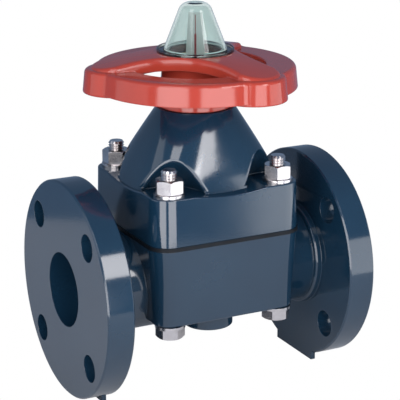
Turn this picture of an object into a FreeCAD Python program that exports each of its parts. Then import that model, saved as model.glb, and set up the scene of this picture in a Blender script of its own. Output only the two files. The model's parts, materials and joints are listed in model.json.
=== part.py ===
"""Hand-operated flanged diaphragm valve, nominal 2 inch, plastic body and bonnet.

Frame: X runs along the flow, Z points up the stem, and z = 0 is the surface that the
feet stand on. The pieces are drawn about the flow axis, where X, Y and Z cross, and
each is lifted by axis_height when it is written. Millimetres and degrees.
The valve is drawn fully open, so its stem is at the top of its travel.
"""
import FreeCAD, Part
import math
import os

Vector = FreeCAD.Vector
X_AXIS = Vector(1, 0, 0)
Y_AXIS = Vector(0, 1, 0)
Z_AXIS = Vector(0, 0, 1)

# --- line flanges, necks and feet -------------------------------------------------
face_to_face = 203.0
flange_diameter = 152.4
flange_thickness = 19.4
flange_chamfer = 1.0
flange_hole_margin = 15.875
flange_hole_diameter = 19.05
flange_hole_count = 4
bore_diameter = 52.0
neck_diameter = 69.2
collar_diameter = 75.0
collar_length = 5.0
collar_round = 2.0
foot_width = 50.0
foot_thickness = 3.5
foot_drop = 1.0

# --- body block under the diaphragm -----------------------------------------------
block_length = 112.4
block_width = 111.2
block_corner = 14.5
block_draft = 3.3
block_edge_round = 1.5
seam_height = 34.8
block_depth = 55.4
bolt_span_x = 82.6
bolt_span_y = 86.0
weir_crest_width = 13.0
weir_foot_width = 88.0
bowl_mouth_radius = 33.0
stand_boss_radius = 17.5
stand_boss_depth = 14.4
stand_hole_spacing = 38.0

# --- diaphragm --------------------------------------------------------------------
diaphragm_thickness = 2.6
diaphragm_overhang = 0.7
diaphragm_pad_radius = 16.0
diaphragm_pad_depth = 3.0
sealing_bead_radius = 1.8
stud_head_radius = 7.5
stud_head_thickness = 2.0
stud_radius = 4.0
stud_reach = 9.0
rubber_clearance = 0.3

# --- bonnet -----------------------------------------------------------------------
skirt_height = 33.2
skirt_draft = 1.4
skirt_edge_round = 1.0
skirt_dip_depth = 2.2
skirt_dip_width = 54.0
dome_height = 48.4
dome_base_length = 103.0
dome_base_width = 92.0
dome_top_diameter = 54.5
dome_bulge = 1.12
dome_squareness = 1.7
pocket_base_radius = 25.0
pocket_slope = 29.0
pocket_edge_round = 2.5

# --- stem, sleeve and what holds them ---------------------------------------------
stem_lift = 25.0
stem_diameter = 19.9
running_clearance = 0.05
compressor_radius = 28.0
compressor_round = 30.5
compressor_height = 21.3
compressor_hub_radius = 14.0
compressor_hub_height = 9.0
stem_seat_depth = 10.0
guide_reach = 31.0
guide_width = 8.0
guide_depth = 9.0
guide_height = 12.0
guide_clearance = 0.5
pin_radius = 3.0
retainer_diameter = 42.0
retainer_thickness = 8.0
retainer_gap = 2.0
retainer_key_width = 5.0
thrust_ring_thickness = 2.0
sleeve_collar_diameter = 39.0
sleeve_collar_thickness = 8.0
collar_play = 0.1
sleeve_diameter = 30.0
sleeve_drive_width = 26.0
sleeve_drive_length = 25.0
sleeve_thread_diameter = 26.0
sleeve_nut_stand_out = 8.0
oring_section = 2.4
oring_gap = 0.15

# --- handwheel --------------------------------------------------------------------
hub_gap = 0.4
hub_bottom_diameter = 50.8
hub_top_diameter = 46.0
hub_cone_height = 28.0
wheel_rim_rise = 14.2
wheel_rim_height = 14.9
wheel_rim_radius = 70.5
wheel_rim_width = 22.0
wheel_rim_draft = 6.0
wheel_shoulder_round = 3.0
wheel_wall = 3.5
lobe_count = 3
lobe_first_angle = 47.5
lobe_stand_out = 7.9
lobe_drop = 1.5
lobe_round_radius = 23.0
lobe_blend_radius = 7.0
web_height = 38.0
web_fall = 8.0
web_inset = 5.0
web_depth = 8.6
web_edge_round = 3.2
web_skin = 4.0
arm_shoulder = 3.5
web_arc_radius = 62.4
web_arc_centre = 91.0
wheel_edge_round = 1.2
wheel_nut_width = 32.0
wheel_nut_thickness = 6.0
wheel_recess_radius = 20.0
wheel_recess_sink = 1.5
stem_end_depth = 7.4

# --- clear gauge cover and position indicator -------------------------------------
cover_lip_radius = 26.7
cover_lip_thickness = 2.2
cover_wall = 1.8
cover_base_radius = 21.5
cover_top_radius = 9.5
cover_top_round = 7.4
cover_height = 33.4
cover_plug_depth = 4.0
cover_groove_depth = 1.1
cover_notch_width = 6.0
indicator_base_width = 13.2
indicator_top_width = 9.4
indicator_thickness = 3.0
indicator_height = 33.5
indicator_foot_radius = 8.0
indicator_foot_height = 3.0
indicator_plug_radius = 4.0
indicator_plug_length = 8.0
indicator_turn = -26.0
line_width = 1.4
fine_line_width = 0.5
line_thickness = 0.3

# --- bonnet bolting, 7/16 inch -----------------------------------------------------
bolt_diameter = 11.1
bolt_hole_diameter = 12.2
bolt_thread_pitch = 1.81
bolt_stand_out = 6.4
bolt_head_height = 7.1
hex_width = 17.5
nut_height = 9.6
washer_diameter = 21.0
washer_thickness = 2.0
hex_bevel = 1.2
nut_turns = (11.0, 2.0, 32.0, 20.0)
head_turns = (35.0, 48.0, 10.0, 25.0)

# --- threaded inserts for a stand ---------------------------------------------------
insert_hole_diameter = 6.8
insert_diameter = 12.0
insert_length = 12.0

# --- heights above the flow axis that follow from the values above ------------------
beyond = 1000.0
axis_height = flange_diameter / 2 + foot_drop
flange_bolt_circle = flange_diameter - 2 * flange_hole_margin
weir_crest_height = seam_height - diaphragm_pad_depth - stem_lift
block_bottom = seam_height - block_depth
bonnet_base = seam_height + diaphragm_thickness
skirt_top = bonnet_base + skirt_height
dome_top = skirt_top + dome_height
compressor_bottom = bonnet_base + rubber_clearance
compressor_top = compressor_bottom + compressor_height
stem_bottom = compressor_top - stem_seat_depth
hub_bottom = dome_top + hub_gap
web_top = hub_bottom + web_height
wheel_rim_bottom = hub_bottom + wheel_rim_rise
lobe_reach = wheel_rim_radius + lobe_stand_out
recess_floor = hub_bottom + hub_cone_height - wheel_recess_sink
retainer_height = compressor_top + guide_height + retainer_gap
retainer_top = retainer_height + retainer_thickness
sleeve_bottom = retainer_top + thrust_ring_thickness + collar_play
sleeve_collar_top = sleeve_bottom + sleeve_collar_thickness
sleeve_shoulder = sleeve_collar_top + collar_play + thrust_ring_thickness
sleeve_top = recess_floor + sleeve_nut_stand_out
stem_top = web_top - stem_end_depth
indicator_base = stem_top
stem_radius = stem_diameter / 2
sleeve_radius = sleeve_diameter / 2
neck_bore_radius = sleeve_radius + running_clearance
flange_inner_face = face_to_face / 2 - flange_thickness
bolt_places = [
    (side_x * bolt_span_x / 2, side_y * bolt_span_y / 2)
    for side_y in (-1, 1)
    for side_x in (-1, 1)
]


# --- small builders -----------------------------------------------------------------
def rod(radius, low, high, x=0.0, y=0.0):
    """Upright cylinder between two heights."""
    return Part.makeCylinder(radius, high - low, Vector(x, y, low), Z_AXIS)


def rod_along(axis, radius, start, length):
    """Cylinder from a start point along an axis."""
    return Part.makeCylinder(radius, length, start, axis)


def cone(low_radius, high_radius, low, high, x=0.0, y=0.0):
    """Upright cone frustum between two heights, or a cylinder where it has no slope."""
    if abs(low_radius - high_radius) < 1e-6:
        return rod(low_radius, low, high, x, y)
    return Part.makeCone(low_radius, high_radius, high - low, Vector(x, y, low), Z_AXIS)


def ring(outer, inner, low, high, x=0.0, y=0.0):
    """Flat ring between two heights."""
    return rod(outer, low, high, x, y).cut(rod(inner, low - 1, high + 1, x, y))


def block(low_corner, high_corner):
    """Box between two corners."""
    size = Vector(*high_corner) - Vector(*low_corner)
    return Part.makeBox(size.x, size.y, size.z, Vector(*low_corner))


def turned(points, axis=Z_AXIS):
    """Solid of revolution of a closed outline given as (radius, height) pairs."""
    corners = [Vector(radius, 0, height) for radius, height in points]
    face = Part.Face(Part.makePolygon(corners + corners[:1]))
    return face.revolve(Vector(0, 0, 0), axis, 360)


def joined(shapes):
    """One solid out of several that meet."""
    return shapes[0].fuse(shapes[1:]).removeSplitter()


def rounded_outline(half_x, half_y, corner, height):
    """Wire of a rectangle with round corners, centred on the stem."""
    straight_x = half_x - corner
    straight_y = half_y - corner
    diagonal = corner * math.sqrt(0.5)
    edges = []
    for quarter in range(4):
        turn = FreeCAD.Rotation(Z_AXIS, 90 * quarter)
        along, across = (straight_x, straight_y) if quarter % 2 == 0 else (straight_y, straight_x)
        start = Vector(along + corner, across, height)
        middle = Vector(along + diagonal, across + diagonal, height)
        end = Vector(along, across + corner, height)
        next_start = Vector(-along, across + corner, height)
        points = [turn.multVec(point) for point in (start, middle, end, next_start)]
        edges.append(Part.Arc(*points[:3]).toShape())
        edges.append(Part.makeLine(points[2], points[3]))
    return Part.Wire(edges)


def drafted_block(half_x, half_y, corner, low, high, low_inset, high_inset):
    """Upright block with round corners whose sides lean in by an inset at each end."""
    outlines = [
        rounded_outline(half_x - inset, half_y - inset, corner - inset, height)
        for height, inset in ((low, low_inset), (high, high_inset))
    ]
    return Part.makeLoft(outlines, True, True)


def flat_edges_at(shape, height):
    """Edges that lie in the horizontal plane at a height."""
    return [
        edge
        for edge in shape.Edges
        if abs(edge.BoundBox.ZMin - height) < 1e-4 and abs(edge.BoundBox.ZMax - height) < 1e-4
    ]


def shared_edges(shape, faces):
    """Edges of a shape that bound one of the given faces."""
    bounds = [edge for face in faces for edge in face.Edges]
    return [edge for edge in shape.Edges if any(edge.isSame(bound) for bound in bounds)]


def hexagon(width, low, high, turn, x=0.0, y=0.0):
    """Hexagonal prism, its width across flats, with one corner at the turn angle."""
    radius = width / math.sqrt(3)
    corners = []
    for step in range(7):
        angle = math.radians(turn + 60 * step)
        corners.append(Vector(x + radius * math.cos(angle), y + radius * math.sin(angle), low))
    return Part.Face(Part.makePolygon(corners)).extrude(Vector(0, 0, high - low))


def bevelled_hexagon(width, low, high, turn, x, y, bevel_low, bevel_high):
    """Hexagonal prism with its corners turned off at one or both ends."""
    radius = width / math.sqrt(3)
    fall = hex_bevel * 0.6
    envelope = rod(radius + 1, low + fall * bevel_low, high - fall * bevel_high, x, y)
    flat = radius - hex_bevel
    if bevel_low:
        envelope = envelope.fuse(cone(flat, radius, low, low + fall, x, y))
    if bevel_high:
        envelope = envelope.fuse(cone(radius, flat, high - fall, high, x, y))
    return hexagon(width, low, high, turn, x, y).common(envelope)


def oring(centre_radius, height):
    """Rubber ring of the common section."""
    return Part.makeTorus(centre_radius, oring_section / 2, Vector(0, 0, height), Z_AXIS)


def solids_together(shapes):
    """Several separate solids as one shape."""
    return Part.makeCompound(shapes)


# --- valve body -----------------------------------------------------------------------
def line_flange(side):
    """Flange, its collar on the neck and its foot, at one end of the body."""
    radius = flange_diameter / 2
    inner = flange_inner_face
    outer = face_to_face / 2
    disc = turned(
        [
            (0, inner),
            (radius - flange_chamfer, inner),
            (radius, inner + flange_chamfer),
            (radius, outer - flange_chamfer),
            (radius - flange_chamfer, outer),
            (0, outer),
        ]
    )
    collar = rod(collar_diameter / 2, inner - collar_length, inner + 1)
    collar = collar.makeFillet(collar_round, flat_edges_at(collar, inner - collar_length))
    flange = disc.fuse(collar)
    flange.rotate(Vector(0, 0, 0), Y_AXIS, 90 * side)
    foot = block(
        (inner, -foot_width / 2, -radius - foot_drop),
        (inner + foot_thickness, foot_width / 2, -radius * 0.8),
    )
    if side < 0:
        foot = foot.mirror(Vector(0, 0, 0), X_AXIS)
    return flange.fuse(foot)


def waterway():
    """Space that the fluid fills: two bores that meet in a bowl over the weir."""
    half = face_to_face / 2
    bore = rod_along(X_AXIS, bore_diameter / 2, Vector(-half - 1, 0, 0), face_to_face + 2)
    foot = weir_foot_width / 2
    crest = weir_crest_width / 2
    below = -bore_diameter / 2 - 1
    wide = bore_diameter
    flank = [
        Vector(-foot, -wide, below),
        Vector(-crest, -wide, weir_crest_height),
        Vector(crest, -wide, weir_crest_height),
        Vector(foot, -wide, below),
    ]
    weir = Part.Face(Part.makePolygon(flank + flank[:1])).extrude(Vector(0, 2 * wide, 0))
    bowl_depth = seam_height - weir_crest_height
    bowl_radius = (bowl_mouth_radius ** 2 + bowl_depth ** 2) / (2 * bowl_depth)
    bowl = Part.makeSphere(bowl_radius, Vector(0, 0, weir_crest_height + bowl_radius))
    return bore.cut(weir).fuse(bowl)


def stand_boss(reach, low, high):
    """Oblong boss under the block that takes the stand's inserts."""
    half = stand_hole_spacing / 2
    ends = [rod(reach, low, high, 0, side * half) for side in (-1, 1)]
    middle = block((-reach, -half, low), (reach, half, high))
    return ends[0].fuse([ends[1], middle]).removeSplitter()


def valve_body():
    """Body moulding: block, necks, flanges and feet around the waterway."""
    lean = math.tan(math.radians(block_draft)) * block_depth
    core = drafted_block(
        block_length / 2, block_width / 2, block_corner, block_bottom, seam_height, lean, 0
    )
    core = core.makeFillet(block_edge_round, flat_edges_at(core, block_bottom))
    boss = stand_boss(stand_boss_radius, block_bottom - stand_boss_depth, block_bottom + 1)
    boss = boss.makeFillet(1.0, flat_edges_at(boss, block_bottom - stand_boss_depth))
    neck = rod_along(
        X_AXIS, neck_diameter / 2, Vector(-flange_inner_face - 1, 0, 0), 2 * flange_inner_face + 2
    )
    body = joined([core, neck, boss, line_flange(1), line_flange(-1)])
    room = diaphragm_overhang + rubber_clearance
    far = Vector(block_length / 2 + room, block_width / 2 + room, 0)
    above_seam = block((-far.x, -far.y, seam_height), (far.x, far.y, beyond))
    cuts = [waterway(), above_seam]
    for x, y in bolt_places:
        cuts.append(rod(bolt_hole_diameter / 2, block_bottom - 1, seam_height + 1, x, y))
    for index in range(flange_hole_count):
        angle = math.radians(45 + index * 360 / flange_hole_count)
        radius = flange_bolt_circle / 2
        start = Vector(-face_to_face, radius * math.cos(angle), radius * math.sin(angle))
        reach = face_to_face - flange_inner_face + 1
        cuts.append(rod_along(X_AXIS, flange_hole_diameter / 2, start, reach))
        start = Vector(flange_inner_face - 1, start.y, start.z)
        cuts.append(rod_along(X_AXIS, flange_hole_diameter / 2, start, reach))
    mouth = block_bottom - stand_boss_depth
    for side in (-1, 1):
        y = side * stand_hole_spacing / 2
        cuts.append(rod(insert_diameter / 2, mouth - 1, mouth + insert_length, 0, y))
    return body.cut(cuts)


def mounting_inserts():
    """Brass threaded inserts moulded into the stand boss."""
    low = block_bottom - stand_boss_depth
    high = low + insert_length
    shapes = []
    for side in (-1, 1):
        y = side * stand_hole_spacing / 2
        shell = ring(insert_diameter / 2, insert_hole_diameter / 2, low, high, 0, y)
        shapes.append(shell)
    return solids_together(shapes)


# --- diaphragm and its stud -------------------------------------------------------------
def diaphragm():
    """Rubber sheet clamped at the seam, thicker over the weir, with a moulded-in stud."""
    grow = diaphragm_overhang
    sheet = drafted_block(
        block_length / 2 + grow,
        block_width / 2 + grow,
        block_corner + grow,
        seam_height,
        bonnet_base,
        0,
        0,
    )
    pad_bottom = seam_height - diaphragm_pad_depth
    pad = rod(diaphragm_pad_radius, pad_bottom, seam_height + 1)
    pad = pad.makeFillet(1.5, flat_edges_at(pad, pad_bottom))
    bead_half = bowl_mouth_radius - 4
    bead = rod_along(
        Y_AXIS, sealing_bead_radius, Vector(0, -bead_half, seam_height), 2 * bead_half
    )
    reach = 3 * sealing_bead_radius
    bead = bead.common(
        block((-reach, -bead_half, seam_height - reach), (reach, bead_half, seam_height + 1))
    )
    rubber = joined([sheet, pad, bead])
    room = stud_head_radius + rubber_clearance
    head_low = seam_height - diaphragm_pad_depth + 1
    head_high = head_low + stud_head_thickness + 2 * rubber_clearance
    cuts = [
        rod(room, head_low, head_high),
        rod(stud_radius + rubber_clearance, head_low, bonnet_base + 1),
    ]
    for x, y in bolt_places:
        cuts.append(rod(bolt_hole_diameter / 2, seam_height - 1, bonnet_base + 1, x, y))
    return rubber.cut(cuts)


def diaphragm_stud():
    """Steel stud whose head is held in the rubber and whose shank is in the compressor."""
    low = seam_height - diaphragm_pad_depth + 1 + rubber_clearance
    head = rod(stud_head_radius, low, low + stud_head_thickness)
    shank = rod(stud_radius, low, compressor_bottom + stud_reach)
    return joined([head, shank])


# --- compressor and its pin ---------------------------------------------------------------
def compressor():
    """Round-nosed presser that pushes the diaphragm down and keeps the stem from turning."""
    ball = Part.makeSphere(compressor_round, Vector(0, 0, compressor_bottom + compressor_round))
    drum = rod(compressor_radius, compressor_bottom, compressor_top)
    nose = drum.common(ball)
    hub = rod(compressor_hub_radius, compressor_top - 1, compressor_top + compressor_hub_height)
    pieces = [nose, hub]
    for side in (-1, 1):
        near = side * (guide_reach - guide_depth)
        far = side * guide_reach
        pieces.append(
            block(
                (min(near, far), -guide_width / 2, compressor_top - 2),
                (max(near, far), guide_width / 2, compressor_top + guide_height),
            )
        )
    shape = joined(pieces)
    return shape.cut(
        [
            rod(stem_radius + running_clearance, stem_bottom, beyond),
            rod(stud_radius, compressor_bottom - 1, compressor_bottom + stud_reach),
            compressor_pin_bar(compressor_hub_radius + 3),
        ]
    )


def compressor_pin_bar(half_length):
    """Bar across the hub, along Y, at the middle of the hub's height."""
    height = compressor_top + compressor_hub_height / 2
    return rod_along(Y_AXIS, pin_radius, Vector(0, -half_length, height), 2 * half_length)


def compressor_pin():
    """Steel pin that joins compressor and stem."""
    return compressor_pin_bar(compressor_hub_radius - 0.5)


# --- bonnet ---------------------------------------------------------------------------------
def dome_outline(height_share):
    """Closed smooth outline of the dome at a share of its height: square-ish below, round above.

    Below the dome's base, where the share is negative, it keeps the base's outline and slope.
    """
    top = dome_top_diameter / 2
    swell = 1 - math.copysign(abs(height_share) ** dome_bulge, height_share)
    half_x = top + (dome_base_length / 2 - top) * swell
    half_y = top + (dome_base_width / 2 - top) * swell
    squareness = 2 + dome_squareness * min(swell, 1)
    points = []
    for step in range(48):
        angle = 2 * math.pi * (step + 0.5) / 48
        cosine = math.cos(angle)
        sine = math.sin(angle)
        reach = (abs(cosine) ** squareness + abs(sine) ** squareness) ** (-1 / squareness)
        height = skirt_top + dome_height * height_share
        points.append(Vector(half_x * reach * cosine, half_y * reach * sine, height))
    curve = Part.BSplineCurve()
    curve.interpolate(points, PeriodicFlag=True)
    return Part.Wire(curve.toShape())


def dome():
    """Domed top of the bonnet with a tapered wrench pocket at each bolt."""
    shares = [0.0, 0.17, 0.34, 0.51, 0.68, 0.84, 1.0]
    shape = Part.makeLoft([dome_outline(share) for share in shares], True, False)
    sunk = -(skirt_dip_depth + 2) / dome_height
    foot = Part.makeLoft([dome_outline(share) for share in (sunk, sunk / 2, 0.0)], True, False)
    pockets = []
    for x, y in bolt_places:
        low = skirt_top - 6
        rise = pocket_base_radius / math.tan(math.radians(pocket_slope))
        extra = 6 * math.tan(math.radians(pocket_slope))
        pockets.append(cone(pocket_base_radius + extra, 0, low, skirt_top + rise, x, y))
    shape = shape.cut(pockets)
    walls = [face for face in shape.Faces if isinstance(face.Surface, Part.Cone)]
    arches = [
        edge
        for edge in shared_edges(shape, walls)
        if edge.BoundBox.ZMax > skirt_top + 1
    ]
    shape = shape.makeFillet(pocket_edge_round, arches)
    return shape, foot.cut(pockets)


def bonnet():
    """Bonnet moulding: bolted skirt, dome, and the bores for sleeve and compressor."""
    lean = math.tan(math.radians(skirt_draft)) * skirt_height
    skirt = drafted_block(
        block_length / 2, block_width / 2, block_corner, bonnet_base, skirt_top, 0, lean
    )
    dip_radius = (skirt_dip_width ** 2 / 4 + skirt_dip_depth ** 2) / (2 * skirt_dip_depth)
    centre = skirt_top - skirt_dip_depth + dip_radius
    for axis in (X_AXIS, Y_AXIS):
        start = axis * -block_length + Vector(0, 0, centre)
        skirt = skirt.cut(rod_along(axis, dip_radius, start, 2 * block_length))
    sides = [
        face
        for face in skirt.Faces
        if face.BoundBox.ZMin < bonnet_base + 0.1 and face.BoundBox.ZMax > skirt_top - 3
    ]
    top_edges = [
        edge
        for edge in shared_edges(skirt, sides)
        if edge.BoundBox.ZMin > skirt_top - skirt_dip_depth - 0.1
    ]
    skirt = skirt.makeFillet(skirt_edge_round, top_edges)
    crown, foot = dome()
    body = joined([skirt, crown, foot])
    cavity_radius = compressor_radius + 1
    cuts = [
        cone(bowl_mouth_radius, cavity_radius, bonnet_base, bonnet_base + 4),
        rod(cavity_radius, bonnet_base, retainer_height - 1),
        rod(retainer_diameter / 2, retainer_height - 2, sleeve_shoulder),
        rod(neck_bore_radius, sleeve_shoulder - 1, dome_top + 1),
    ]
    groove = guide_reach + guide_clearance
    half = guide_width / 2 + guide_clearance
    cuts.append(block((-groove, -half, bonnet_base - 1), (groove, half, retainer_height - 1)))
    for x, y in bolt_places:
        cuts.append(rod(bolt_hole_diameter / 2, bonnet_base - 1, skirt_top + 1, x, y))
    return body.cut(cuts)


# --- stem, sleeve and the rings around them ---------------------------------------------------
def stem():
    """Non-turning stem with a left-hand thread, drawn at its thread's outer diameter."""
    shape = rod(stem_radius, stem_bottom, stem_top)
    shape = shape.makeChamfer(0.8, flat_edges_at(shape, stem_top))
    return shape.cut(
        [
            rod(indicator_plug_radius, stem_top - indicator_plug_length, stem_top + 1),
            compressor_pin_bar(stem_radius + 3),
        ]
    )


def sleeve():
    """Nut sleeve that turns with the handwheel: collar, neck, drive flats and top thread."""
    neck_top = recess_floor - sleeve_drive_length
    collar = rod(sleeve_collar_diameter / 2, sleeve_bottom, sleeve_collar_top)
    neck = rod(sleeve_radius, sleeve_bottom, neck_top)
    half = sleeve_drive_width / 2
    drive = rod(sleeve_radius, neck_top - 1, recess_floor)
    drive = drive.common(block((-beyond, -half, 0), (beyond, half, beyond)))
    thread = rod(sleeve_thread_diameter / 2, neck_top, sleeve_top)
    shape = joined([collar, neck, drive, thread])
    groove = ring(
        sleeve_radius + 1,
        neck_bore_radius - oring_gap - oring_section - 0.1,
        sleeve_ring_height() - oring_section * 0.6,
        sleeve_ring_height() + oring_section * 0.6,
    )
    return shape.cut([rod(stem_radius + running_clearance, sleeve_bottom - 1, sleeve_top + 1), groove])


def sleeve_ring_height():
    """Height of the rubber ring on the sleeve, near the top of the bonnet."""
    return dome_top - 6


def sleeve_ring():
    """Rubber ring in the sleeve's groove."""
    return oring(neck_bore_radius - oring_gap - oring_section / 2, sleeve_ring_height())


def sleeve_retainer():
    """Threaded ring that holds the sleeve up in the bonnet and carries the stem seal."""
    outer = retainer_diameter / 2 - running_clearance
    shape = ring(outer, stem_radius + 0.35, retainer_height, retainer_top)
    middle = (retainer_height + retainer_top) / 2
    reach = stem_radius + oring_gap + oring_section + 0.3
    groove = rod(reach, middle - oring_section * 0.6, middle + oring_section * 0.6)
    key = retainer_key_width / 2
    slot = block((-outer - 1, -key, retainer_height - 1), (outer + 1, key, retainer_height + 2))
    return shape.cut([groove, slot])


def stem_ring():
    """Rubber ring that seals the stem in the retainer."""
    middle = (retainer_height + retainer_top) / 2
    return oring(stem_radius + oring_gap + oring_section / 2, middle)


def thrust_rings():
    """Low-friction rings below and above the sleeve's collar."""
    outer = sleeve_collar_diameter / 2 + 0.5
    lower = ring(outer, stem_radius + 2, retainer_top, retainer_top + thrust_ring_thickness)
    upper_low = sleeve_shoulder - thrust_ring_thickness
    upper = ring(outer, sleeve_radius + 0.5, upper_low, sleeve_shoulder)
    return lower, upper


# --- handwheel ----------------------------------------------------------------------------------
def lobed_disc(inset, low, high, lean=0.0):
    """Disc with three grip lobes, drawn inward by an inset; it may lean in towards the top."""
    pieces = []
    rim = wheel_rim_radius - inset
    lobe = lobe_round_radius - inset
    centre = lobe_reach - lobe_round_radius
    pieces.append(cone(rim, rim - lean, low, high))
    for index in range(lobe_count):
        angle = math.radians(lobe_first_angle + 360 * index / lobe_count)
        x = centre * math.cos(angle)
        y = centre * math.sin(angle)
        pieces.append(cone(lobe, lobe - lean, low, high, x, y))
    return joined(pieces)


def star_cutters(grow):
    """Round cutters that leave the web's three arms between them."""
    cutters = []
    for index in range(lobe_count):
        cutter = rod(web_arc_radius + grow, 0, beyond, web_arc_centre, 0)
        turn = lobe_first_angle + 360 * (index + 0.5) / lobe_count
        cutter.rotate(Vector(0, 0, 0), Z_AXIS, turn)
        cutters.append(cutter)
    return cutters


def web_crown(drop):
    """Drum under a shallow ball cap: the web's crowned top, lowered by a drop."""
    reach = lobe_reach - web_inset
    flat = cover_lip_radius + 1
    radius = (reach ** 2 - flat ** 2) / (2 * web_fall)
    rise = flat ** 2 / (2 * radius)
    ball = Part.makeSphere(radius, Vector(0, 0, web_top + rise - radius - drop))
    drum = rod(lobe_reach, wheel_rim_bottom + wheel_rim_height / 2, web_top + rise)
    drum.rotate(Vector(0, 0, 0), Z_AXIS, lobe_first_angle)
    return ball.common(drum)


def blended(solid, low, high, blend_radius):
    """Lobed disc with the inward corners beside its lobes rounded."""
    joints = [
        edge
        for edge in solid.Edges
        if abs(edge.BoundBox.ZMax - high) < 1e-4 and abs(edge.BoundBox.ZMin - low) < 1e-4
    ]
    return solid.makeFillet(blend_radius, joints)


def arm_ends():
    """Upright solid whose outline gives the web's arms their round ends."""
    centre = lobe_reach - lobe_round_radius
    shapes = [rod(centre + arm_shoulder, 0, beyond)]
    for index in range(lobe_count):
        end = rod(lobe_round_radius - web_inset, 0, beyond)
        end.rotate(Vector(0, 0, 0), Z_AXIS, 180)
        end.translate(Vector(centre, 0, 0))
        end.rotate(Vector(0, 0, 0), Z_AXIS, lobe_first_angle + 360 * index / lobe_count)
        shapes.append(end)
    return joined(shapes)


def web(hollow_radius):
    """Crowned web with rounded top edges, flat under the cover and hollow from below."""
    shape = web_crown(0.0).common(arm_ends()).cut(star_cutters(0.0))
    caps = [face for face in shape.Faces if isinstance(face.Surface, Part.Sphere)]
    shape = shape.makeFillet(web_edge_round, shared_edges(shape, caps))
    shape = shape.common(rod(lobe_reach, 0, web_top))
    inside = rod(hollow_radius, 0, beyond)
    outside = rod(hollow_radius + wheel_wall, 0, beyond)
    below = web_crown(web_depth).common(inside)
    hollow = web_crown(web_skin).common(outside).cut(star_cutters(wheel_wall))
    hollow = hollow.cut(rod(hub_top_diameter / 2, 0, beyond))
    return shape.cut([below, hollow])


def lobe_feet(low):
    """Lower ends of the three lobes, deeper than the rim between them."""
    centre = lobe_reach - lobe_round_radius
    feet = []
    for index in range(lobe_count):
        foot = rod(lobe_round_radius, low - lobe_drop, low)
        foot = foot.makeFillet(lobe_drop * 0.6, flat_edges_at(foot, low - lobe_drop))
        foot.translate(Vector(centre, 0, 0))
        foot.rotate(Vector(0, 0, 0), Z_AXIS, lobe_first_angle + 360 * index / lobe_count)
        feet.append(foot)
    return feet


def handwheel():
    """Handwheel moulding: hub cone, three-armed web and lobed rim, hollow from below."""
    low = wheel_rim_bottom
    high = low + wheel_rim_height
    inner = wheel_rim_radius - wheel_rim_width
    lean = math.tan(math.radians(wheel_rim_draft)) * wheel_rim_height
    rim = blended(lobed_disc(0.0, low, high, lean), low, high, lobe_blend_radius)
    rim = rim.makeFillet(wheel_shoulder_round, flat_edges_at(rim, high))
    rim = joined([rim] + lobe_feet(low)).cut(rod(inner, 0, beyond))
    inner_edge = [edge for edge in flat_edges_at(rim, high) if edge.BoundBox.XMax < inner + 1]
    rim = rim.makeFillet(wheel_edge_round, inner_edge)
    channel = lobed_disc(wheel_wall + lean, low - lobe_drop - 1, high - wheel_wall)
    channel = channel.cut(rod(inner + wheel_wall, 0, beyond))
    hub_radius = hub_bottom_diameter / 2
    hub_shoulder = hub_bottom + hub_cone_height
    hub = cone(hub_radius, hub_top_diameter / 2, hub_bottom, hub_shoulder)
    hub = hub.fuse(rod(hub_top_diameter / 2, hub_shoulder - 1, web_top - 1))
    wheel = joined([rim, web(inner), hub]).cut(channel)
    half = sleeve_drive_width / 2 + running_clearance
    drive_low = recess_floor - sleeve_drive_length
    drive = rod(neck_bore_radius, drive_low, recess_floor + 1)
    drive = drive.common(block((-beyond, -half, 0), (beyond, half, beyond)))
    return wheel.cut(
        [
            rod(neck_bore_radius, hub_bottom - 1, drive_low + 1),
            drive,
            rod(wheel_recess_radius, recess_floor, web_top + 1),
        ]
    )


def wheel_nut():
    """Ring nut that clamps the handwheel on the sleeve."""
    low = recess_floor
    shape = bevelled_hexagon(
        wheel_nut_width, low, low + wheel_nut_thickness, 0, 0, 0, False, True
    )
    return shape.cut(rod(sleeve_thread_diameter / 2 + running_clearance, low - 1, web_top))


# --- clear gauge cover and position indicator ---------------------------------------------------
def cover_body(inset, low):
    """Cone with a rounded top, drawn inward by an inset."""
    high = web_top + cover_height - inset
    slope = (cover_base_radius - cover_top_radius) / (cover_height - cover_lip_thickness)
    low_radius = cover_base_radius - inset + slope * (web_top + cover_lip_thickness - low)
    high_radius = low_radius - slope * (high - low)
    shape = cone(low_radius, high_radius, low, high)
    return shape.makeFillet(cover_top_round - inset, flat_edges_at(shape, high))


def gauge_cover():
    """Clear cone with a flat lip that plugs into the top of the hub."""
    lip_top = web_top + cover_lip_thickness
    lip = rod(cover_lip_radius, web_top, lip_top)
    lip = lip.makeFillet(0.6, flat_edges_at(lip, lip_top))
    groove = ring(
        cover_lip_radius - 1.2, cover_base_radius + 0.6, lip_top - cover_groove_depth, lip_top + 1
    )
    half = cover_notch_width / 2
    notch_floor = lip_top - cover_groove_depth
    notch = block((cover_lip_radius - 2, -half, notch_floor), (beyond, half, lip_top + 1))
    notch.rotate(Vector(0, 0, 0), Z_AXIS, -70)
    plug = rod(wheel_recess_radius - 0.1, web_top - cover_plug_depth, web_top)
    shell = lip.cut([groove, notch]).fuse([cover_body(0.0, lip_top - 1), plug])
    hollow_low = web_top - cover_plug_depth - 1
    bore = rod(wheel_recess_radius - 0.1 - cover_wall, hollow_low, lip_top)
    return shell.cut([cover_body(cover_wall, lip_top - 1), bore])


def cover_seal():
    """Flat rubber ring on the hub's recess floor edge, under the cover's plug."""
    high = web_top - cover_plug_depth
    return ring(wheel_recess_radius - 0.2, wheel_recess_radius - cover_wall - 0.1, high - 1.2, high)


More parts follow.
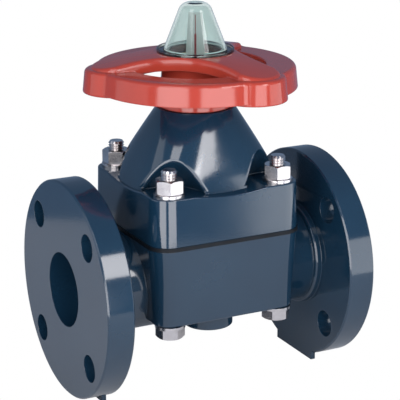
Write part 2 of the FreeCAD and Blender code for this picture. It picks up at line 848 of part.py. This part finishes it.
def position_indicator():
    """White tapered plate on the stem's end; its foot plugs into the stem."""
    plate_low = indicator_base + indicator_foot_height
    high = indicator_base + indicator_height
    half_low = indicator_base_width / 2
    half_high = indicator_top_width / 2
    back = indicator_thickness / 2
    corners = [
        Vector(-half_low, back, plate_low - 1),
        Vector(half_low, back, plate_low - 1),
        Vector(half_low, back, plate_low),
        Vector(half_high, back, high),
        Vector(-half_high, back, high),
        Vector(-half_low, back, plate_low),
    ]
    plate = Part.Face(Part.makePolygon(corners + corners[:1]))
    plate = plate.extrude(Vector(0, -indicator_thickness, 0))
    plate = plate.makeFillet(0.5, flat_edges_at(plate, high))
    foot = rod(indicator_foot_radius, indicator_base, plate_low)
    low = indicator_base - indicator_plug_length + 0.5
    plug = rod(indicator_plug_radius - running_clearance, low, indicator_base + 1)
    shape = joined([plate, foot, plug])
    shape.rotate(Vector(0, 0, 0), Z_AXIS, indicator_turn)
    return shape


def indicator_line():
    """Red line down the middle of the indicator, bold below and fine above."""
    front = -indicator_thickness / 2
    low = indicator_base + indicator_foot_height
    high = indicator_base + indicator_height - 1.5
    middle = low + (high - low) * 0.55
    strips = [
        block((-line_width / 2, front - line_thickness, low), (line_width / 2, front, middle)),
        block((-fine_line_width / 2, front - line_thickness, low), (fine_line_width / 2, front, high)),
    ]
    shape = joined(strips)
    shape.rotate(Vector(0, 0, 0), Z_AXIS, indicator_turn)
    return shape


# --- bonnet bolting -----------------------------------------------------------------------------
def body_bolt(x, y, turn):
    """Hex-head bolt put in from below, ring-grooved like its thread above the bonnet."""
    seat = block_bottom - washer_thickness
    head = bevelled_hexagon(hex_width, seat - bolt_head_height, seat, turn, x, y, True, False)
    end = skirt_top + washer_thickness + nut_height + bolt_stand_out
    radius = bolt_diameter / 2
    thread_start = end - bolt_stand_out - nut_height
    depth = bolt_thread_pitch * 0.55
    outline = [(0, seat - 1), (radius, seat - 1), (radius, thread_start)]
    turns = int((end - thread_start) / bolt_thread_pitch)
    for index in range(turns):
        low = thread_start + index * bolt_thread_pitch
        outline.append((radius - depth, low + bolt_thread_pitch / 2))
        outline.append((radius, low + bolt_thread_pitch))
    outline.append((radius - 1, end))
    outline.append((0, end))
    shank = turned(outline)
    shank.translate(Vector(x, y, 0))
    return head.fuse(shank).removeSplitter()


def body_bolts():
    """The four bonnet bolts."""
    return solids_together([body_bolt(x, y, turn) for (x, y), turn in zip(bolt_places, head_turns)])


def body_nuts():
    """The four nuts on the bonnet."""
    shapes = []
    low = skirt_top + washer_thickness
    high = low + nut_height
    for (x, y), turn in zip(bolt_places, nut_turns):
        nut = bevelled_hexagon(hex_width, low, high, turn, x, y, True, True)
        shapes.append(nut.cut(rod(bolt_diameter / 2 + running_clearance, low - 1, high + 1, x, y)))
    return solids_together(shapes)


def washers(low):
    """Four plain washers whose lower faces lie at one height."""
    inner = bolt_diameter / 2 + 0.25
    return solids_together(
        [ring(washer_diameter / 2, inner, low, low + washer_thickness, x, y) for x, y in bolt_places]
    )


# --- all pieces -----------------------------------------------------------------------------------
def pieces():
    """Every piece of the valve by name, about the flow axis."""
    lower_thrust_ring, upper_thrust_ring = thrust_rings()
    return {
        "valve_body": valve_body(),
        "mounting_inserts": mounting_inserts(),
        "diaphragm": diaphragm(),
        "diaphragm_stud": diaphragm_stud(),
        "compressor": compressor(),
        "compressor_pin": compressor_pin(),
        "bonnet": bonnet(),
        "stem": stem(),
        "stem_ring": stem_ring(),
        "sleeve": sleeve(),
        "sleeve_ring": sleeve_ring(),
        "sleeve_retainer": sleeve_retainer(),
        "lower_thrust_ring": lower_thrust_ring,
        "upper_thrust_ring": upper_thrust_ring,
        "handwheel": handwheel(),
        "wheel_nut": wheel_nut(),
        "gauge_cover": gauge_cover(),
        "cover_seal": cover_seal(),
        "position_indicator": position_indicator(),
        "indicator_line": indicator_line(),
        "body_bolts": body_bolts(),
        "body_nuts": body_nuts(),
        "upper_washers": washers(skirt_top),
        "lower_washers": washers(block_bottom - washer_thickness),
    }


def main():
    """Write one STEP file for each piece, standing on its feet."""
    os.makedirs("parts", exist_ok=True)
    for name, shape in pieces().items():
        shape.translate(Vector(0, 0, axis_height))
        shape.exportStep(os.path.join("parts", name + ".step"))
        box = shape.BoundBox
        print(name, shape.isValid(), len(shape.Solids), round(shape.Volume), [
            round(value, 1)
            for value in (box.XMin, box.XMax, box.YMin, box.YMax, box.ZMin, box.ZMax)
        ])


main()
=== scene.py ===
"""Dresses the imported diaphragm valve: materials, table, lights, surroundings and camera.

Metres, in the part's own frame: X along the flow, Z up the stem, z = 0 under the feet.
"""
import json
import math

import bpy
from mathutils import Matrix, Vector

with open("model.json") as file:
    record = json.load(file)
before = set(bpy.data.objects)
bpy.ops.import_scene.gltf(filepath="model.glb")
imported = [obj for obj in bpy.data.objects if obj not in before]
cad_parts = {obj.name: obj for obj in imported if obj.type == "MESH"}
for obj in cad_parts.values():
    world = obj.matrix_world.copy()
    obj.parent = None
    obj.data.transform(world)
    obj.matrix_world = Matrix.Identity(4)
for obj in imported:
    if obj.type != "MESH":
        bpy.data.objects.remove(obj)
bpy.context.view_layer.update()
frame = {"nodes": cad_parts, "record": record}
nodes = frame["nodes"]


# --- node-tree helpers --------------------------------------------------------------
edge_samples = 6
noise_detail = 3.0
noise_roughness = 0.5
relief_depth = 0.0001


def new_material(name):
    """An empty node material: its shader, linked to its output."""
    material = bpy.data.materials.new(name)
    material.use_nodes = True
    tree = material.node_tree
    tree.nodes.clear()
    output = tree.nodes.new("ShaderNodeOutputMaterial")
    shader = tree.nodes.new("ShaderNodeBsdfPrincipled")
    tree.links.new(shader.outputs["BSDF"], output.inputs["Surface"])
    return material, tree, shader


def object_coordinates(tree):
    """Places on the part, in metres, which move with the piece."""
    return tree.nodes.new("ShaderNodeTexCoord").outputs["Object"]


def noise(tree, where, scale, detail=noise_detail, roughness=noise_roughness, distortion=0.0):
    node = tree.nodes.new("ShaderNodeTexNoise")
    node.inputs["Scale"].default_value = scale
    node.inputs["Detail"].default_value = detail
    node.inputs["Roughness"].default_value = roughness
    node.inputs["Distortion"].default_value = distortion
    tree.links.new(where, node.inputs["Vector"])
    return node.outputs["Fac"]


def ramp(tree, factor, start, end):
    """Colours from start to end, each a (place, colour) pair, by a factor of 0 to 1."""
    node = tree.nodes.new("ShaderNodeValToRGB")
    for element, (place, colour) in zip(node.color_ramp.elements, (start, end)):
        element.position = place
        element.color = (*colour, 1.0)
    tree.links.new(factor, node.inputs["Fac"])
    return node.outputs["Color"]


def spread(tree, factor, span, size=1.0):
    """Stretches a factor of 0 to 1 over a span, times a size."""
    low, high = span
    node = tree.nodes.new("ShaderNodeMapRange")
    node.inputs["To Min"].default_value = size * low
    node.inputs["To Max"].default_value = size * high
    tree.links.new(factor, node.inputs["Value"])
    return node.outputs["Result"]


def mix_colour(tree, factor, painted, plain):
    """A painted colour, giving way to a plain one as the factor rises to 1."""
    node = tree.nodes.new("ShaderNodeMix")
    node.data_type = "RGBA"
    tree.links.new(factor, node.inputs["Factor"])
    tree.links.new(painted, node.inputs["A"])
    node.inputs["B"].default_value = (*plain, 1.0)
    return node.outputs["Result"]


def rounded_normal(tree, radius):
    """The normal with sharp edges rounded off, so that they catch a line of light."""
    node = tree.nodes.new("ShaderNodeBevel")
    node.samples = edge_samples
    node.inputs["Radius"].default_value = radius
    return node.outputs["Normal"]


def bump(tree, height, strength, normal=None, distance=relief_depth):
    node = tree.nodes.new("ShaderNodeBump")
    node.inputs["Strength"].default_value = strength
    node.inputs["Distance"].default_value = distance
    tree.links.new(height, node.inputs["Height"])
    if normal is not None:
        tree.links.new(normal, node.inputs["Normal"])
    return node.outputs["Normal"]


def edge_share(tree, rounded):
    """1 on the flats, falling towards 0 where the rounded normal leaves the true one."""
    geometry = tree.nodes.new("ShaderNodeNewGeometry")
    dot = tree.nodes.new("ShaderNodeVectorMath")
    dot.operation = "DOT_PRODUCT"
    tree.links.new(rounded, dot.inputs[0])
    tree.links.new(geometry.outputs["Normal"], dot.inputs[1])
    return dot.outputs["Value"]


# --- materials ----------------------------------------------------------------------
# Noise scales count waves per metre. The two spans stretch a material's own roughness.
mottle_scale = 22.0
smear_scale = 60.0
peel_scale = 700.0
stain_scale = 90.0
lines_scale = 160.0
lines_stretch = (1.0, 1.0, 30.0)
bloom_scale = 120.0
rubber_grain_scale = 2200.0
haze_scale = 70.0
ripple_scale = 160.0

plastic_refraction = 1.5
smear_span = (0.8, 1.3)
lines_span = (0.7, 1.5)
lines_relief = 0.08
rubber_roughness = (0.42, 0.62)
rubber_relief = 0.2
rubber_gloss = 0.2
clear_refraction = 1.49
clear_roughness = (0.02, 0.06)
clear_lift = 1.04
ripple_relief = 0.05
ripple_depth = 0.0002

rubbed_from = 0.80
rubbed_to = 0.97
rubbed_share = 0.35


def grey(value):
    """One value in all three channels."""
    return (value, value, value)


def moulded_plastic(name, deep, base, worn, roughness, rounding, grain=0.12, gloss=0.55):
    """Glossy moulded plastic: soft mottling, paler rubbed edges and a fine orange peel."""
    material, tree, shader = new_material(name)
    where = object_coordinates(tree)
    mottle = noise(tree, where, mottle_scale, detail=4.0, roughness=0.6)
    colour = ramp(tree, mottle, (0.3, deep), (0.7, base))
    rounded = rounded_normal(tree, rounding)
    flat = edge_share(tree, rounded)
    rubbed = ramp(tree, flat, (rubbed_from, grey(rubbed_share)), (rubbed_to, grey(0.0)))
    colour = mix_colour(tree, rubbed, colour, worn)
    tree.links.new(colour, shader.inputs["Base Color"])
    smear = noise(tree, where, smear_scale, detail=5.0, roughness=0.65, distortion=0.4)
    tree.links.new(spread(tree, smear, smear_span, roughness), shader.inputs["Roughness"])
    shader.inputs["IOR"].default_value = plastic_refraction
    shader.inputs["Specular IOR Level"].default_value = gloss
    peel = noise(tree, where, peel_scale, detail=2.0)
    tree.links.new(bump(tree, peel, grain, rounded), shader.inputs["Normal"])
    return material


def metal(name, dark, light, roughness, rounding):
    """Turned or drawn metal, with fine rings round its upright axis and small stains."""
    material, tree, shader = new_material(name)
    where = object_coordinates(tree)
    mapping = tree.nodes.new("ShaderNodeMapping")
    mapping.inputs["Scale"].default_value = lines_stretch
    tree.links.new(where, mapping.inputs["Vector"])
    lines = noise(tree, mapping.outputs["Vector"], lines_scale)
    stain = noise(tree, where, stain_scale, detail=4.0, roughness=0.6)
    tree.links.new(
        ramp(tree, stain, (0.3, dark), (0.65, light)), shader.inputs["Base Color"]
    )
    tree.links.new(spread(tree, lines, lines_span, roughness), shader.inputs["Roughness"])
    shader.inputs["Metallic"].default_value = 1.0
    rounded = rounded_normal(tree, rounding)
    tree.links.new(bump(tree, lines, lines_relief, rounded), shader.inputs["Normal"])
    return material


def rubber(name, deep, base):
    """Dull moulded rubber with a faint bloom and a fine grain."""
    material, tree, shader = new_material(name)
    where = object_coordinates(tree)
    bloom = noise(tree, where, bloom_scale, detail=4.0)
    tree.links.new(
        ramp(tree, bloom, (0.35, deep), (0.75, base)), shader.inputs["Base Color"]
    )
    tree.links.new(spread(tree, bloom, rubber_roughness), shader.inputs["Roughness"])
    shader.inputs["Specular IOR Level"].default_value = rubber_gloss
    grain = noise(tree, where, rubber_grain_scale, detail=2.0)
    tree.links.new(bump(tree, grain, rubber_relief), shader.inputs["Normal"])
    return material


def clear_plastic(name, tint):
    """Clear moulded plastic with a faint cast and light polishing haze."""
    material, tree, shader = new_material(name)
    where = object_coordinates(tree)
    haze = noise(tree, where, haze_scale)
    paler = tuple(channel * clear_lift for channel in tint)
    tree.links.new(
        ramp(tree, haze, (0.3, tint), (0.7, paler)), shader.inputs["Base Color"]
    )
    tree.links.new(spread(tree, haze, clear_roughness), shader.inputs["Roughness"])
    shader.inputs["Transmission Weight"].default_value = 1.0
    shader.inputs["IOR"].default_value = clear_refraction
    ripple = noise(tree, where, ripple_scale, detail=1.0)
    tree.links.new(
        bump(tree, ripple, ripple_relief, distance=ripple_depth), shader.inputs["Normal"]
    )
    return material


body_plastic = moulded_plastic(
    "body_plastic",
    deep=(0.0050, 0.020, 0.040),
    base=(0.0065, 0.025, 0.048),
    worn=(0.022, 0.048, 0.078),
    roughness=0.10,
    rounding=0.0006,
    gloss=0.85,
)
wheel_plastic = moulded_plastic(
    "wheel_plastic",
    deep=(0.31, 0.034, 0.020),
    base=(0.35, 0.040, 0.024),
    worn=(0.43, 0.08, 0.058),
    roughness=0.12,
    rounding=0.0012,
)
compressor_plastic = moulded_plastic(
    "compressor_plastic",
    deep=(0.010, 0.011, 0.013),
    base=(0.018, 0.019, 0.022),
    worn=(0.05, 0.05, 0.055),
    roughness=0.45,
    rounding=0.0006,
)
slide_plastic = moulded_plastic(
    "slide_plastic",
    deep=(0.62, 0.61, 0.57),
    base=(0.74, 0.73, 0.69),
    worn=(0.80, 0.79, 0.76),
    roughness=0.40,
    rounding=0.0003,
)
white_plastic = moulded_plastic(
    "white_plastic",
    deep=(0.82, 0.82, 0.81),
    base=(0.90, 0.90, 0.89),
    worn=(0.93, 0.93, 0.92),
    roughness=0.30,
    rounding=0.0003,
    grain=0.05,
)
red_line = moulded_plastic(
    "red_line",
    deep=(0.42, 0.012, 0.016),
    base=(0.50, 0.018, 0.022),
    worn=(0.55, 0.05, 0.05),
    roughness=0.35,
    rounding=0.0001,
    grain=0.05,
)
stainless = metal(
    "stainless",
    dark=(0.50, 0.47, 0.46),
    light=(0.64, 0.61, 0.61),
    roughness=0.20,
    rounding=0.0002,
)
stem_steel = metal(
    "stem_steel",
    dark=(0.50, 0.49, 0.48),
    light=(0.64, 0.63, 0.62),
    roughness=0.26,
    rounding=0.0003,
)
bronze = metal(
    "bronze",
    dark=(0.50, 0.33, 0.14),
    light=(0.68, 0.47, 0.22),
    roughness=0.30,
    rounding=0.0003,
)
black_rubber = rubber(
    "black_rubber",
    deep=(0.002, 0.003, 0.005),
    base=(0.005, 0.007, 0.010),
)
clear_cover = clear_plastic("clear_plastic", tint=(0.66, 0.76, 0.75))

materials = {
    "body_plastic": body_plastic,
    "wheel_plastic": wheel_plastic,
    "stainless": stainless,
    "stem_steel": stem_steel,
    "bronze": bronze,
    "black_rubber": black_rubber,
    "slide_plastic": slide_plastic,
    "compressor_plastic": compressor_plastic,
    "clear_plastic": clear_cover,
    "white_plastic": white_plastic,
    "red_line": red_line,
}

for entry in frame["record"]["subparts"]:
    mesh = nodes[entry["node"]].data
    mesh.materials.clear()
    mesh.materials.append(materials[entry["material_slot"]])


# --- table --------------------------------------------------------------------------
table_radius = 0.45
rim_points = 96
table_mottle_scale = 3.0
table_darker = (0.80, 0.79, 0.78)
table_paler = (0.84, 0.83, 0.82)
table_roughness = 0.9


def disc(name, radius, material):
    """A round flat table top at z = 0, facing up."""
    mesh = bpy.data.meshes.new(name)
    rim = []
    for step in range(rim_points):
        angle = 2 * math.pi * step / rim_points
        rim.append((radius * math.cos(angle), radius * math.sin(angle), 0.0))
    mesh.from_pydata(rim, [], [tuple(range(rim_points))])
    mesh.materials.append(material)
    top = bpy.data.objects.new(name, mesh)
    bpy.context.scene.collection.objects.link(top)


def white_for_camera(tree, shader_output):
    """Pure white where the camera sees it, and the given shader for every other ray."""
    white = tree.nodes.new("ShaderNodeEmission")
    rays = tree.nodes.new("ShaderNodeLightPath")
    mixer = tree.nodes.new("ShaderNodeMixShader")
    tree.links.new(rays.outputs["Is Camera Ray"], mixer.inputs["Fac"])
    tree.links.new(shader_output, mixer.inputs[1])
    tree.links.new(white.outputs["Emission"], mixer.inputs[2])
    return mixer.outputs["Shader"]


def floor_material():
    """Pale matt table, washed out to pure white for the camera as in a studio cut-out."""
    material, tree, shader = new_material("floor_white")
    tone = noise(tree, object_coordinates(tree), table_mottle_scale, detail=2.0)
    tree.links.new(
        ramp(tree, tone, (0.3, table_darker), (0.7, table_paler)),
        shader.inputs["Base Color"],
    )
    shader.inputs["Roughness"].default_value = table_roughness
    shader.inputs["Specular IOR Level"].default_value = 0.0
    output = next(node for node in tree.nodes if node.type == "OUTPUT_MATERIAL")
    tree.links.new(white_for_camera(tree, shader.outputs["BSDF"]), output.inputs["Surface"])
    return material


disc("floor", table_radius, floor_material())


# --- camera -------------------------------------------------------------------------
camera_place = Vector((-0.4840, -0.9621, 0.4568))
camera_aim = Vector((-0.00235, 0.0, 0.12766))
camera_roll = math.radians(-0.14)
camera_data = bpy.data.cameras.new("camera")
camera_data.lens = 143.9
camera_data.sensor_width = 36.0
camera_data.shift_x = 0.0185
camera_data.clip_end = 20.0
camera = bpy.data.objects.new("camera", camera_data)
look = (camera_aim - camera_place).to_track_quat("-Z", "Y").to_matrix().to_4x4()
roll = Matrix.Rotation(camera_roll, 4, "Z")
camera.matrix_world = Matrix.Translation(camera_place) @ look @ roll
bpy.context.scene.collection.objects.link(camera)
bpy.context.scene.camera = camera


# --- lights -------------------------------------------------------------------------
front = Vector((camera_place.x, camera_place.y, 0.0)).normalized()
valve_middle = Vector((0.0, 0.0, 0.15))
neutral = (1.0, 1.0, 1.0)
warm = (1.0, 0.97, 0.97)


def softbox(name, turn, distance, height, width, tall, radiance, colour=neutral, level=False):
    """Area light, turned round the valve from the camera's side by so many degrees.

    It faces the valve's middle, or stands upright where it is level. The valve's gloss
    shows it, and the camera does not.
    """
    data = bpy.data.lights.new(name, "AREA")
    data.shape = "RECTANGLE"
    data.size = width
    data.size_y = tall
    data.energy = radiance * math.pi * width * tall
    data.color = colour
    lamp = bpy.data.objects.new(name, data)
    place = Matrix.Rotation(math.radians(turn), 3, "Z") @ front * distance
    place.z = height
    lamp.location = place
    towards = valve_middle - place
    if level:
        towards.z = 0.0
    lamp.rotation_euler = towards.to_track_quat("-Z", "Y").to_euler()
    lamp.visible_camera = False
    lamp.visible_transmission = False
    bpy.context.scene.collection.objects.link(lamp)


# Two tall windows leave a narrow dark gap between them, straight behind the camera.
softbox(
    "window_right",
    turn=24.5,
    distance=1.7,
    height=0.30,
    width=1.14,
    tall=1.60,
    radiance=4.4,
    colour=warm,
    level=True,
)
softbox(
    "window_left",
    turn=-24.4,
    distance=1.7,
    height=0.30,
    width=1.06,
    tall=1.60,
    radiance=4.4,
    colour=warm,
    level=True,
)
softbox(
    "skylight_right",
    turn=45.0,
    distance=1.3,
    height=0.95,
    width=0.42,
    tall=0.60,
    radiance=7.0,
    colour=warm,
)
softbox(
    "skylight_left",
    turn=-28.0,
    distance=1.3,
    height=1.45,
    width=0.80,
    tall=0.80,
    radiance=3.6,
    colour=warm,
)
softbox(
    "side_right",
    turn=80.0,
    distance=1.8,
    height=0.10,
    width=1.70,
    tall=1.30,
    radiance=2.2,
)
softbox(
    "side_left",
    turn=-75.0,
    distance=1.8,
    height=0.60,
    width=1.60,
    tall=1.60,
    radiance=0.8,
)


# --- surroundings -------------------------------------------------------------------
dim_blue = (0.17, 0.24, 0.36)


def background(tree, colour):
    """An even surround of one colour."""
    node = tree.nodes.new("ShaderNodeBackground")
    node.inputs["Color"].default_value = (*colour, 1.0)
    node.inputs["Strength"].default_value = 1.0
    return node.outputs["Background"]


def studio_world():
    """Dim and bluish in the gloss, and pure white behind the valve and through its cone."""
    world = bpy.data.worlds.new("studio")
    world.use_nodes = True
    tree = world.node_tree
    tree.nodes.clear()
    rays = tree.nodes.new("ShaderNodeLightPath")
    seen = tree.nodes.new("ShaderNodeMath")
    seen.operation = "MAXIMUM"
    tree.links.new(rays.outputs["Is Camera Ray"], seen.inputs[0])
    tree.links.new(rays.outputs["Is Transmission Ray"], seen.inputs[1])
    mixer = tree.nodes.new("ShaderNodeMixShader")
    tree.links.new(seen.outputs["Value"], mixer.inputs["Fac"])
    tree.links.new(background(tree, dim_blue), mixer.inputs[1])
    tree.links.new(background(tree, neutral), mixer.inputs[2])
    output = tree.nodes.new("ShaderNodeOutputWorld")
    tree.links.new(mixer.outputs["Shader"], output.inputs["Surface"])
    return world


bpy.context.scene.world = studio_world()


# --- colour view --------------------------------------------------------------------
bpy.context.scene.view_settings.view_transform = "Standard"
bpy.context.scene.view_settings.look = "None"
